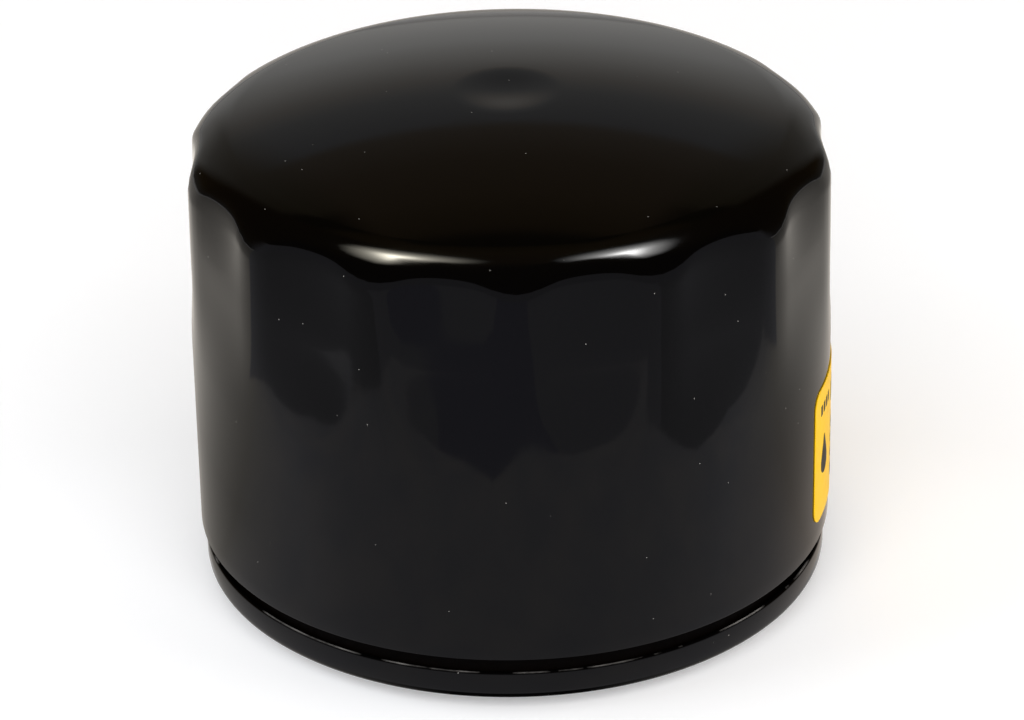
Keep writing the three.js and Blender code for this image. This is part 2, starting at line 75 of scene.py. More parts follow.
def bottom(node):
    return round(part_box(node)[0].z / MM, 2)


def top(node):
    return round(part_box(node)[1].z / MM, 2)


# ---- Materials -------------------------------------------------------------------------------

class Nodes:
    """A node tree, with short ways to add nodes to it."""

    def __init__(self, tree):
        self.tree = tree

    def node(self, kind, **inputs):
        made = self.tree.nodes.new(kind)
        for name, value in inputs.items():
            self.feed(made.inputs[name.replace("_", " ")], value)
        return made

    def feed(self, socket, value):
        """Sets a socket to a value, or links it to another node's output."""
        if isinstance(value, bpy.types.NodeSocket):
            self.tree.links.new(value, socket)
        else:
            socket.default_value = value

    def math(self, operation, first, second=0.0):
        made = self.node("ShaderNodeMath")
        made.operation = operation
        self.feed(made.inputs[0], first)
        self.feed(made.inputs[1], second)
        return made.outputs[0]

    def remap(self, value, source, target, interpolation="LINEAR"):
        """Maps a value's source range to the target range, and keeps it inside."""
        made = self.node("ShaderNodeMapRange", Value=value)
        made.interpolation_type = interpolation
        for name, number in zip(("From Min", "From Max", "To Min", "To Max"), (*source, *target)):
            made.inputs[name].default_value = number
        return made.outputs["Result"]

    def mix(self, factor, first, second):
        """A colour between two, where each is a colour or another node's output."""
        made = self.node("ShaderNodeMix")
        made.data_type = "RGBA"
        self.feed(made.inputs[0], factor)
        for socket, value in ((made.inputs[6], first), (made.inputs[7], second)):
            self.feed(socket, (*value, 1) if isinstance(value, tuple) else value)
        return made.outputs[2]

    def ramp(self, value, stops):
        """A colour ramp over a value, from stops of (place, colour)."""
        made = self.node("ShaderNodeValToRGB", Fac=value)
        elements = made.color_ramp.elements
        while len(elements) < len(stops):
            elements.new(0.5)
        for element, (place, color) in zip(elements, stops):
            element.position = place
            element.color = (*color, 1)
        return made.outputs["Color"]


class Finish(Nodes):
    """A Principled material and the nodes that vary it over the piece."""

    def __init__(self, name, color, roughness, metallic=0.0, ior=1.5):
        self.material = bpy.data.materials.new(name)
        self.material.use_nodes = True
        super().__init__(self.material.node_tree)
        self.shader = self.tree.nodes["Principled BSDF"]
        self.fix(Base_Color=(*color, 1), Roughness=roughness, Metallic=metallic, IOR=ior)
        self.where = self.node("ShaderNodeNewGeometry").outputs["Position"]

    def fix(self, **values):
        """Sets the shader's own sockets."""
        for name, value in values.items():
            self.shader.inputs[name.replace("_", " ")].default_value = value

    def noise(self, size, detail=2.0, stretch=(1, 1, 1)):
        """Cloudy noise from 0 to 1 whose patches are about size millimetres across."""
        scaled = self.node("ShaderNodeVectorMath")
        scaled.operation = "MULTIPLY"
        self.feed(scaled.inputs[0], self.where)
        scaled.inputs[1].default_value = [s / (size * MM) for s in stretch]
        return self.node("ShaderNodeTexNoise", Vector=scaled.outputs[0], Scale=1.0,
                         Detail=detail).outputs["Fac"]

    def color(self, value):
        self.feed(self.shader.inputs["Base Color"], value)

    def roughness(self, value):
        self.feed(self.shader.inputs["Roughness"], value)

    def relief(self, height, depth):
        """Raises the surface by depth millimetres where height is 1."""
        made = self.node("ShaderNodeBump", Height=height)
        made.inputs["Distance"].default_value = depth * MM
        self.feed(self.shader.inputs["Normal"], made.outputs["Normal"])

    def axis_distance(self):
        """Distance from the filter's axis, in millimetres."""
        parts = self.node("ShaderNodeSeparateXYZ", Vector=self.where)
        flat = self.node("ShaderNodeCombineXYZ", X=parts.outputs["X"], Y=parts.outputs["Y"])
        length = self.node("ShaderNodeVectorMath")
        length.operation = "LENGTH"
        self.feed(length.inputs[0], flat.outputs[0])
        return self.math("DIVIDE", length.outputs["Value"], MM)

    def specks(self, spacing, size, share):
        """1 in scattered specks of a size, both in millimetres, in a share of the cells."""
        cells = self.node("ShaderNodeTexVoronoi", Vector=self.where, Scale=1 / (spacing * MM))
        dot = self.math("LESS_THAN", cells.outputs["Distance"], size / 2 / spacing)
        chosen = self.node("ShaderNodeSeparateColor", Color=cells.outputs["Color"])
        return self.math("MULTIPLY", dot, self.math("LESS_THAN", chosen.outputs[0], share))


BLACK = (0.0007, 0.0006, 0.0006)
DUST = (0.28, 0.27, 0.25)
PAINT_IOR = 1.25


def gloss_paint(name):
    """Black gloss enamel: faint orange peel, slightly uneven gloss and a few dust specks."""
    paint = Finish(name, BLACK, 0.06, ior=PAINT_IOR)
    dust = paint.specks(spacing=2.4, size=0.12, share=0.9)
    paint.color(paint.mix(dust, BLACK, DUST))
    paint.roughness(paint.math("MAXIMUM", paint.remap(paint.noise(9), (0.3, 0.7), (0.05, 0.085)),
                               paint.math("MULTIPLY", dust, 0.7)))
    paint.relief(paint.noise(2.0, detail=1.0, stretch=(1, 1, 2.6)), 0.0010)
    return paint


def lid_paint():
    """The can's paint on the seam, with a painted highlight of light flecks along its upper edge.
    It ends in overspray on the lid's bare underside."""
    paint = gloss_paint("lid_paint")
    distance = paint.axis_distance()
    ragged = paint.math("ADD", distance, paint.remap(paint.noise(1.2, 4), (0.3, 0.7), (-0.8, 0.8)))
    bare = paint.remap(ragged, (32.2, 34.2), (1, 0))
    old_color = paint.shader.inputs["Base Color"].links[0].from_socket
    old_roughness = paint.shader.inputs["Roughness"].links[0].from_socket
    metal = paint.mix(paint.noise(2.5, 4), (0.50, 0.49, 0.46), (0.62, 0.61, 0.58))
    height = paint.node("ShaderNodeSeparateXYZ", Vector=paint.where).outputs["Z"]
    # Painted highlight: light gray flecks in a thin band on the seam's upper outer edge stand in
    # for glints, and are a little rougher.
    edge = paint.remap(height, (5.32 * MM, 5.39 * MM), (0, 1))
    outer = paint.remap(distance, (37.1, 37.2), (0, 1))
    painted_glint = paint.math("MULTIPLY", paint.remap(paint.noise(6, 6), (0.50, 0.66), (0, 1)), edge)
    painted_glint = paint.math("MULTIPLY", painted_glint, outer)
    color = paint.mix(painted_glint, old_color, (0.20, 0.19, 0.18))
    paint.color(paint.mix(bare, color, metal))
    dull = paint.math("MULTIPLY", paint.math("MAXIMUM", bare, painted_glint), 0.36)
    paint.roughness(paint.math("MAXIMUM", old_roughness, dull))
    paint.feed(paint.shader.inputs["Metallic"], bare)
    return paint


def metal(name, dark, light, roughness, patch=3.0, relief=0.004):
    """Sheet or wire with slightly uneven colour and gloss."""
    made = Finish(name, light, roughness, metallic=1.0)
    cloud = made.noise(patch, detail=4)
    made.color(made.mix(made.remap(cloud, (0.35, 0.65), (0, 1)), dark, light))
    made.roughness(made.remap(made.noise(patch / 4, 3), (0.3, 0.7),
                              (roughness - 0.06, roughness + 0.08)))
    made.relief(made.noise(0.5, detail=2), relief)
    return made


def rubber(name, dark, light, roughness):
    """Moulded rubber or plastisol: a matt skin with a fine grain."""
    made = Finish(name, light, roughness, ior=1.48)
    made.color(made.mix(made.remap(made.noise(2.2, 4), (0.35, 0.65), (0, 1)), dark, light))
    made.roughness(made.remap(made.noise(0.8, 3), (0.3, 0.7), (roughness - 0.06, roughness + 0.08)))
    made.relief(made.noise(0.25, detail=2), 0.012)
    return made


def filter_paper():
    """Resin-treated filter paper with fibres and a fine crosswise emboss."""
    made = Finish("filter_paper", (0.60, 0.42, 0.16), 0.9, ior=1.4)
    fibres = made.noise(0.35, detail=6, stretch=(1, 1, 0.25))
    made.color(made.mix(made.remap(fibres, (0.3, 0.7), (0, 1)),
                        (0.48, 0.31, 0.10), (0.68, 0.49, 0.21)))
    made.roughness(made.remap(fibres, (0.3, 0.7), (0.82, 0.95)))
    made.relief(made.noise(0.9, detail=5, stretch=(1, 1, 3)), 0.05)
    return made


def printed_film(name, dark, light, roughness):
    """Label film or the ink on it, with a slightly uneven gloss."""
    made = Finish(name, light, roughness, ior=1.2)
    made.color(made.mix(made.noise(3, detail=5), dark, light))
    made.roughness(made.remap(made.noise(1.5, 3), (0.3, 0.7), (roughness - 0.05, roughness + 0.08)))
    made.relief(made.noise(0.6, detail=2), 0.002)
    return made


def groove_shade_paint():
    """The thin paint inside the groove over the seam, made duller and far less shiny than the can's
    paint as painted shade for the recess, with a faint brownish tone.
    """
    paint = Finish("groove_shade_paint", BLACK, 0.5, ior=1.12)
    paint.color(paint.mix(paint.noise(1.5, 3), (0.0006, 0.0004, 0.0003), (0.0016, 0.0008, 0.0005)))
    paint.roughness(paint.remap(paint.noise(0.9, 3), (0.3, 0.7), (0.35, 0.6)))
    paint.relief(paint.noise(0.7, detail=3), 0.03)
    return paint


PAINT = gloss_paint("can_paint").material
GROOVE_SHADE = groove_shade_paint().material
LID = lid_paint().material
NITRILE = rubber("nitrile", (0.011, 0.011, 0.011), (0.022, 0.021, 0.020), 0.52).material
SILICONE = rubber("silicone", (0.36, 0.07, 0.03), (0.46, 0.10, 0.045), 0.45).material
PLASTISOL = rubber("plastisol", (0.20, 0.032, 0.022), (0.28, 0.045, 0.03), 0.5).material
ZINC = metal("zinc_plate", (0.42, 0.40, 0.34), (0.58, 0.56, 0.49), 0.34).material
TIN = metal("tinned_sheet", (0.50, 0.51, 0.52), (0.66, 0.67, 0.68), 0.30, patch=5).material
SPRING = metal("spring_steel", (0.20, 0.20, 0.21), (0.34, 0.34, 0.36), 0.32, patch=1.5).material
PAPER = filter_paper().material
FILM = printed_film("label_film", (0.90, 0.53, 0.003), (0.97, 0.58, 0.005), 0.36).material
INK = printed_film("label_ink", (0.010, 0.010, 0.010), (0.018, 0.017, 0.016), 0.42).material


# ---- Outlines --------------------------------------------------------------------------------

def arc(centre, radius, start, end, steps):
    """Points on an arc, both ends included, from start to end degrees."""
    r, z = centre
    turns = [radians(start + (end - start) * i / steps) for i in range(steps + 1)]
    return [(r + radius * cos(a), z + radius * sin(a)) for a in turns]


def rounded(line, radius, loop=True, steps=4):
    """The line with each corner rounded. radius is one value or one for each point."""
    radii = radius if isinstance(radius, (list, tuple)) else [radius] * len(line)
    out = []
    for i, (here, size) in enumerate(zip(line, radii)):
        here = Vector(here)
        if size <= 0 or (not loop and i in (0, len(line) - 1)):
            out.append(tuple(here))
            continue
        back = Vector(line[i - 1]) - here
        ahead = Vector(line[(i + 1) % len(line)]) - here
        half = back.angle(ahead) / 2
        if half > radians(89):
            out.append(tuple(here))
            continue
        room = min(back.length, ahead.length) * 0.48
        size = min(size, room * tan(half))
        back.normalize()
        ahead.normalize()
        centre = here + (back + ahead).normalized() * size / sin(half)
        start = here + back * size / tan(half) - centre
        end = here + ahead * size / tan(half) - centre
        first = atan2(start.y, start.x)
        sweep = (atan2(end.y, end.x) - first + pi) % (2 * pi) - pi
        out += [(centre.x + size * cos(first + sweep * k / steps),
                 centre.y + size * sin(first + sweep * k / steps)) for k in range(steps + 1)]
    return out


def sheet(line, thickness, bend=0.0):
    """A closed outline of even thickness round a centre line, with rounded bends and ends."""
    line = [Vector(p) for p in rounded(line, bend, loop=False)]
    sides = []
    for sign in (1, -1):
        side = []
        for i, here in enumerate(line):
            before = (here - line[i - 1]).normalized() if i > 0 else None
            after = (line[i + 1] - here).normalized() if i < len(line) - 1 else None
            a, b = before or after, after or before
            normal = Vector((-(a.y + b.y), a.x + b.x)).normalized()
            side.append(here + normal * (sign * thickness / 2 / normal.dot(Vector((-a.y, a.x)))))
        sides.append(side)
    left, right = sides

    def end(tip, direction):
        """Points round a sheet's end, from its left side to its right side."""
        normal = Vector((-direction.y, direction.x)) * thickness / 2
        turns = [pi * k / 4 for k in (1, 2, 3)]
        return [tip + normal * cos(a) + direction * sin(a) * thickness / 4 for a in turns]

    last = (line[-1] - line[-2]).normalized()
    first = (line[0] - line[1]).normalized()
    loop = left + end(line[-1], last) + right[::-1] + end(line[0], first)
    return [tuple(p) for p in loop]


def area(outline):
    following = outline[1:] + outline[:1]
    return sum(a[0] * b[1] - b[0] * a[1] for a, b in zip(outline, following)) / 2


# ---- Meshes ----------------------------------------------------------------------------------

def make(name, points, faces, material, sharp=32):
    """A mesh object from points in millimetres, smooth but for edges over the sharp angle."""
    mesh = bpy.data.meshes.new(name)
    mesh.from_pydata([[c * MM for c in p] for p in points], [], faces)
    return finish_mesh(name, mesh, material, sharp)


def finish_mesh(name, mesh, material, sharp=32):
    shaped = bmesh.new()
    shaped.from_mesh(mesh)
    bmesh.ops.remove_doubles(shaped, verts=shaped.verts, dist=1e-8)
    loose = [e for e in shaped.edges if not e.link_faces]
    bmesh.ops.delete(shaped, geom=loose, context="EDGES")
    bmesh.ops.recalc_face_normals(shaped, faces=shaped.faces)
    shaped.to_mesh(mesh)
    shaped.free()
    mesh.shade_smooth()
    mesh.set_sharp_from_angle(angle=radians(sharp))
    mesh.materials.clear()
    mesh.materials.append(material)
    piece = bpy.data.objects.new(name, mesh)
    bpy.context.scene.collection.objects.link(piece)
    return piece


def even_angles(count):
    return [2 * pi * i / count for i in range(count)]


def revolve(name, outline, material, angles=160, radius=None, sharp=32):
    """Turns a closed (radius, height) outline round the axis, in even steps or at given angles.
    radius(angle, r, z) may change the radius of each point."""
    if isinstance(angles, int):
        angles = even_angles(angles)
    if area(outline) < 0:
        outline = outline[::-1]
    points, rows = [], []
    for r, z in outline:
        if r < 1e-6:
            rows.append([len(points)] * len(angles))
            points.append((0, 0, z))
            continue
        rows.append(list(range(len(points), len(points) + len(angles))))
        for a in angles:
            size = radius(a, r, z) if radius else r
            points.append((size * sin(a), -size * cos(a), z))
    faces = []
    for low, high in zip(rows, rows[1:] + rows[:1]):
        for k in range(len(angles)):
            n = (k + 1) % len(angles)
            corners = [low[k], low[n], high[n], high[k]]
            face = [c for i, c in enumerate(corners) if c != corners[i - 1]]
            if len(set(face)) == len(face) and len(face) > 2:
                faces.append(face)
    return make(name, points, faces, material, sharp)


def coil(name, material, wire, turns, radius, height, per_turn=56, sides=14):
    """Round wire wound about the axis. radius and height are functions of turns so far."""
    steps = ceil(turns * per_turn)
    centres = []
    for i in range(steps + 1):
        turn = turns * i / steps
        a = 2 * pi * turn
        centres.append(Vector((radius(turn) * cos(a), radius(turn) * sin(a), height(turn))))
    points, faces = [], []
    for i, centre in enumerate(centres):
        along = (centres[min(i + 1, steps)] - centres[max(i - 1, 0)]).normalized()
        outward = Vector((centre.x, centre.y, 0)).normalized()
        up = along.cross(outward).normalized()
        outward = up.cross(along)
        shrink = 0.8 if i in (0, steps) else 1
        for k in range(sides):
            a = 2 * pi * k / sides
            points.append(centre + (outward * cos(a) + up * sin(a)) * wire / 2 * shrink)
    for i in range(steps):
        for k in range(sides):
            n = (k + 1) % sides
            faces.append((i * sides + k, i * sides + n, (i + 1) * sides + n, (i + 1) * sides + k))
    faces.append(tuple(range(sides)))
    faces.append(tuple(steps * sides + k for k in range(sides)))
    return make(name, points, faces, material)


def extrude(name, material, loops, low, high, rows=1, sharp=32):
    """A ring of material between two closed plan outlines with equal point counts."""
    outer, inner = loops
    count = len(outer)
    points = []
    for j in range(rows + 1):
        z = low + (high - low) * j / rows
        points += [(*p, z) for p in outer] + [(*p, z) for p in inner]
    faces = []
    for k in range(count):
        n = (k + 1) % count
        for j in range(rows):
            a, b = j * 2 * count, (j + 1) * 2 * count
            faces.append((a + k, a + n, b + n, b + k))
            faces.append((a + count + n, a + count + k, b + count + k, b + count + n))
        last = rows * 2 * count
        faces.append((k, count + k, count + n, n))
        faces.append((last + k, last + n, last + count + n, last + count + k))
    return make(name, points, faces, material, sharp)


def cut(piece, cutters):
    """Takes the cutters out of a piece, then deletes them."""
    for cutter in cutters:
        change = piece.modifiers.new("cut", "BOOLEAN")
        change.operation = "DIFFERENCE"
        change.solver = "MANIFOLD"
        change.object = cutter
    depsgraph = bpy.context.evaluated_depsgraph_get()
    mesh = bpy.data.meshes.new_from_object(piece.evaluated_get(depsgraph))
    name, material = piece.name, piece.data.materials[0]
    for spent in (piece, *cutters):
        bpy.data.objects.remove(spent)
    return finish_mesh(name, mesh, material)


def hole(radius, low, high, chamfer, centre):
    """A cutter for a round hole with a chamfer at each end."""
    wide = radius + chamfer + 1
    outline = [(0, low - 1), (wide, low - 1), (radius, low + chamfer), (radius, high - chamfer),
               (wide, high + 1), (0, high + 1)]
    cutter = revolve("cutter", outline, ZINC, angles=48)
    cutter.matrix_world = Matrix.Translation(Vector(centre) * MM)
    return cutter


def fit_in(piece, body, slot, *nodes):
    """Puts a finished piece on its CAD body, in the place of CAD nodes."""
    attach(piece, body)
    if nodes:
        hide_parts(*nodes)
    return piece


def smooth(value, start, end):
    t = min(max((value - start) / (end - start), 0.0), 1.0)
    return t * t * (3 - 2 * t)


# ---- Can -------------------------------------------------------------------------------------

CAN_RADIUS = 38.0
CAN_WALL = 0.8
DOME_APEX = 61.9                 # without the dimple
DOME_RADIUS = 127.0
UPPER_SHOULDER = 13.0            # radius of the soft bend from the dome ...
BEND_CHANGE = 31.5               # ... to this slope in degrees ...
LOWER_SHOULDER = 4.7             # ... and of the tighter bend down to the wall
DIMPLE_RADIUS = 6.75
DIMPLE_DEPTH = 0.35
NECK_RADIUS = 36.6
NECK_BOTTOM = 3.6
NECK_TOP_Z = 4.7                 # the neck narrows from here ...
WAIST_RADIUS = 35.8
WAIST_Z = 6.4                    # ... to the waist, which ends at the step
STEP_Z = 7.45
FLUTES = 14
FIRST_RIDGE = radians(1)
FLAT_APOTHEM = 37.33
RIDGE_ROUND = 11.3               # radius of the ridges between the flats, seen from above
FLATS_START = 31.0
FLATS_FULL = 44.0
FLATS_LEAN = 46.0                # above this the flats lean inwards, into the shoulder ...
LEAN_RATE = 0.87 / 8             # ... and deepen by this share with each millimetre


def can_outline(inset):
    """The can's outer line, or its inner line at an inset, from the wall's foot to the axis."""
    turn = radians(BEND_CHANGE)
    lower_centre = CAN_RADIUS - LOWER_SHOULDER
    bend_r = lower_centre + LOWER_SHOULDER * sin(turn)
    upper_r = bend_r - UPPER_SHOULDER * sin(turn)
    edge = asin(upper_r / (DOME_RADIUS - UPPER_SHOULDER))
    dome_centre = DOME_APEX - DOME_RADIUS
    upper_z = dome_centre + (DOME_RADIUS - UPPER_SHOULDER) * cos(edge)
    lower_z = upper_z + (UPPER_SHOULDER - LOWER_SHOULDER) * cos(turn)
    line = arc((lower_centre, lower_z), LOWER_SHOULDER - inset, 0, 90 - BEND_CHANGE, 16)
    line += arc((upper_r, upper_z), UPPER_SHOULDER - inset,
                90 - BEND_CHANGE, 90 - degrees(edge), 12)[1:]
    dome = DOME_RADIUS - inset
    rim = dome * sin(edge)
    steps = 14
    radii = [rim - (rim - DIMPLE_RADIUS) * k / steps for k in range(1, steps + 1)]
    radii += [DIMPLE_RADIUS * k / 10 for k in range(9, -1, -1)]
    for r in radii:
        share = min(r / DIMPLE_RADIUS, 1)
        line.append((r, dome_centre + sqrt(dome * dome - r * r)
                     - DIMPLE_DEPTH * (1 - share * share) ** 2))
    return line, lower_z


def polygon_radius(angle):
    """Distance from the axis to a 14-sided polygon with rounded corners."""
    half = pi / FLUTES
    off = abs((angle - FIRST_RIDGE + half) % (2 * half) - half)
    centre = (FLAT_APOTHEM - RIDGE_ROUND) / cos(half)
    end = atan2(RIDGE_ROUND * sin(half), centre + RIDGE_ROUND * cos(half))
    if off < end:
        return centre * cos(off) + sqrt(RIDGE_ROUND ** 2 - (centre * sin(off)) ** 2)
    return FLAT_APOTHEM / cos(half - off)


def flute_angles(steps=24):
    """Angles round the can that are closer together at the ridges."""
    half = pi / FLUTES
    spread = [2 * k / steps - 1 for k in range(steps)]
    offsets = [half * (0.4 * s + 0.6 * s ** 3) for s in spread]
    middle = FIRST_RIDGE - half
    shifted = [middle + (half + o if o < 0 else o - half) + half for o in offsets]
    ridge = sorted((a - FIRST_RIDGE + half) % (2 * half) - half for a in shifted)
    return [FIRST_RIDGE + 2 * half * f + a for f in range(FLUTES) for a in ridge]


def make_can():
    outer, wall_top = can_outline(0)
    inner, _ = can_outline(CAN_WALL)
    levels = [9.5, 14, 20, 26] + [FLATS_START + 1.3 * k for k in range(16)]
    levels = [z for z in levels if z < wall_top - 0.6]
    inside, waist_inside = NECK_RADIUS - CAN_WALL, WAIST_RADIUS - CAN_WALL
    foot = [(inside, NECK_BOTTOM), (NECK_RADIUS, NECK_BOTTOM), (NECK_RADIUS, NECK_TOP_Z),
            (WAIST_RADIUS, WAIST_Z), (WAIST_RADIUS, STEP_Z), (CAN_RADIUS, STEP_Z),
            (CAN_RADIUS, 9.2)]
    foot = rounded(foot, [0, 0.15, 0.4, 0.4, 0.2, 0.16, 0], loop=False, steps=6)
    outline = foot + [(CAN_RADIUS, z) for z in levels] + outer
    outline += inner[::-1] + [(CAN_RADIUS - CAN_WALL, z) for z in levels[::-2]]
    step_inside = [(CAN_RADIUS - CAN_WALL, 9.2), (CAN_RADIUS - CAN_WALL, STEP_Z + CAN_WALL),
                   (waist_inside, STEP_Z + CAN_WALL), (waist_inside, WAIST_Z), (inside, NECK_TOP_Z),
                   (inside, NECK_BOTTOM + 0.5)]
    outline += rounded(step_inside, [0, 0.3, 0.4, 0.4, 0.4, 0], loop=False)
    ridges = {}

    def fluted(angle, r, z):
        if angle not in ridges:
            ridges[angle] = CAN_RADIUS - polygon_radius(angle)
        depth = ridges[angle] * smooth(z, FLATS_START, FLATS_FULL)
        depth *= 1 + LEAN_RATE * max(z - FLATS_LEAN, 0)
        if depth <= 0 or r < 30:
            return r
        # Which surface it is, from whether the point is one of the inner line's points.
        skin = CAN_WALL if (r, z) in inner_points else 0
        limit = CAN_RADIUS - skin - depth
        blend = depth
        overlap = max(blend - abs(r - limit), 0) / blend
        return min(r, limit) - overlap * overlap * blend / 4

    inner_points = set(inner) | {(CAN_RADIUS - CAN_WALL, z) for z in levels}
    can = revolve("can_shell", outline, PAINT, angles=flute_angles(), radius=fluted, sharp=50)
    # Painted shade: the faces in the groove over the seam take the duller, less shiny paint.
    can.data.materials.append(GROOVE_SHADE)
    for face in can.data.polygons:
        x, y, z = face.center / MM
        if z < STEP_Z and x * x + y * y < (NECK_RADIUS + 0.3) ** 2:
            face.material_index = 1
    return can


fit_in(make_can(), "housing", "black_paint", "can")


# ---- Seaming lid, compound and gasket --------------------------------------------------------

def make_lid():
    """The stamped lid: gasket groove, bead, ledge, and the rolled seam round the can's neck."""
    corners = [
        (22.6, 5.5, 0.15), (24.2, 5.5, 0.5), (25.0, 3.4, 0.5), (26.7, 3.4, 0.4), (26.7, 5.5, 0.3),
        (31.3, 5.5, 0.3), (31.3, 4.0, 0.5), (34.7, 4.0, 0.4), (34.7, 1.65, 0.55),
        (37.45, 1.65, 1.3), (37.45, 5.4, 0.26), (36.9, 5.4, 0.12), (36.9, 2.35, 0.5),
        (35.4, 2.35, 0.1), (35.4, 4.7, 0.6), (32.0, 4.7, 0.2), (32.0, 6.2, 0.6),
        (26.0, 6.2, 0.6), (26.0, 4.1, 0.2), (25.5, 4.1, 0.2), (24.7, 6.2, 0.6), (22.6, 6.2, 0.2),
    ]
    outline = rounded([(r, z) for r, z, _ in corners], [c[2] for c in corners], steps=5)
    return revolve("seaming_lid_stamping", outline, LID, angles=240)


fit_in(make_lid(), "housing", "black_paint", "seaming_lid")

compound = rounded([(35.8, 2.65), (36.6, 2.65), (36.6, 3.3), (35.8, 3.3)], 0.25)
fit_in(revolve("seam_compound_bead", compound, PLASTISOL), "housing", "plastisol",
       "seam_compound")

gasket_top = top("base_gasket")
gasket = rounded([(27, 0), (31, 0), (31, gasket_top), (27, gasket_top)], [0.3, 0.3, 0.15, 0.15])
fit_in(revolve("gasket_ring", gasket, NITRILE, angles=200), "housing", "gasket_rubber",
       "base_gasket")


# ---- Tapping plate ---------------------------------------------------------------------------

THREAD_MINOR = 17.4 / 2
THREAD_MAJOR = 19.05 / 2
THREAD_PITCH = 25.4 / 16
PLATE_BOTTOM = bottom("tapping_plate")
PLATE_TOP = 9.3
NECK_TOP = top("tapping_plate")
INLETS = 8
INLET_RADIUS = 2.75
INLET_CIRCLE = 18.5


def thread_depth(phase):
    """How deep a 60 degree thread's groove is, from 0 to 1, at a phase of its pitch."""
    phase = phase % 1.0
    crest, root = 0.25, 0.125
    flank = (1 - crest - root) / 2
    if phase < crest:
        return 0.0
    if phase < crest + flank:
        return (phase - crest) / flank
    if phase < crest + flank + root:
        return 1.0
    return (1 - phase) / flank


def make_plate():
    depth = THREAD_MAJOR - THREAD_MINOR
    rows = 92
    bore = [(THREAD_MINOR, NECK_TOP - (NECK_TOP - PLATE_BOTTOM) * k / rows)
            for k in range(rows + 1)]
    body = [(10, PLATE_BOTTOM), (34.5, PLATE_BOTTOM), (34.5, PLATE_TOP), (12, PLATE_TOP),
            (12, NECK_TOP), (10, NECK_TOP)]
    outline = rounded(body, [0, 0.4, 0.4, 0.5, 0.6, 0], loop=False) + bore

    def threaded(angle, r, z):
        if r > THREAD_MINOR + 0.01:
            return r
        groove = r + depth * thread_depth(z / THREAD_PITCH - angle / (2 * pi))
        mouth = THREAD_MAJOR + 0.15 - min(z - PLATE_BOTTOM, NECK_TOP - z)
        return max(groove, mouth)

    plate = revolve("tapping_plate_forging", outline, ZINC, angles=144, radius=threaded)
    cutters = []
    for i in range(INLETS):
        a = 2 * pi * i / INLETS
        cutters.append(hole(INLET_RADIUS, PLATE_BOTTOM, PLATE_TOP, 0.25,
                            (INLET_CIRCLE * cos(a), INLET_CIRCLE * sin(a), 0)))
    return cut(plate, cutters)


fit_in(make_plate(), "housing", "zinc_plate", "tapping_plate")


# ---- Anti-drainback valve --------------------------------------------------------------------

collar_low, collar_high = bottom("drainback_valve_collar"), top("drainback_valve_collar")
collar = rounded([(12.3, collar_low), (15.5, collar_low), (15.5, collar_high),
                  (12.3, collar_high)], [0.5, 0.3, 0.2, 0.2])
fit_in(revolve("drainback_collar", collar, SILICONE), "housing", "silicone_rubber",
       "drainback_valve_collar")

flap_line = [(15.2, 12.05), (17.0, 11.75), (23.6, 10.3), (25.55, 10.1)]
flap = revolve("drainback_flap", sheet(flap_line, 0.95, bend=3.0), SILICONE)
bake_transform(flap)
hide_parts("drainback_valve_flap")


# ---- Filter element --------------------------------------------------------------------------

CAP_SHEET = 0.6
cap_low = bottom("lower_end_cap") + CAP_SHEET / 2
cap_high = top("upper_end_cap") - CAP_SHEET / 2

lower_cap = sheet([(12.9, cap_low + 1.6), (12.9, cap_low), (31.7, cap_low),
                   (31.7, cap_low + 3.0)], CAP_SHEET, bend=0.9)
fit_in(revolve("lower_end_cap_pressing", lower_cap, TIN, angles=192), "housing",
       "tinned_sheet", "lower_end_cap")
upper_cap = sheet([(9.4, cap_high), (31.7, cap_high), (31.7, cap_high - 3.0)], CAP_SHEET,
                  bend=0.9)
fit_in(revolve("upper_end_cap_pressing", upper_cap, TIN, angles=192), "housing",
       "tinned_sheet", "upper_end_cap")

for end in ("lower", "upper"):
    node = end + "_potting"
    low, high = bottom(node), top(node)
    ring = rounded([(15.1, low), (30.6, low), (30.6, high), (15.1, high)], 0.3)
    fit_in(revolve(node + "_cake", ring, PLASTISOL), "housing", "plastisol", node)

PLEATS = 48
PAPER_THICKNESS = 0.6
MEDIA_INNER = 15.1
MEDIA_OUTER = reach("pleated_media")


def fold(centre, radius, facing, sweep, steps):
    """Points round a fold of the paper, about a centre at a polar place."""
    distance, angle = centre
    x, y = distance * cos(angle), distance * sin(angle)
    turns = [facing + sweep * (k / steps - 0.5) for k in range(steps + 1)]
    return [(x + radius * cos(a), y + radius * sin(a)) for a in turns]


def make_media():
    """Pleated paper: every fold is a half circle at the outer or inner edge."""
    tip, root = 0.3, 0.22
    outer_loop, inner_loop = [], []
    for i in range(PLEATS):
        a = 2 * pi * i / PLEATS
        b = a + pi / PLEATS
        tip_at = (MEDIA_OUTER - PAPER_THICKNESS - tip, a)
        root_at = (MEDIA_INNER + PAPER_THICKNESS + root, b)
        outer_loop += fold(tip_at, tip + PAPER_THICKNESS, a, radians(176), 8)
        outer_loop += fold(root_at, root, b + pi, -radians(176), 8)
        inner_loop += fold(tip_at, tip, a, radians(176), 8)
        inner_loop += fold(root_at, root + PAPER_THICKNESS, b + pi, -radians(176), 8)
    return extrude("media_paper", PAPER, (outer_loop, inner_loop),
                   bottom("pleated_media"), top("pleated_media"), rows=3, sharp=60)


fit_in(make_media(), "housing", "filter_paper", "pleated_media")


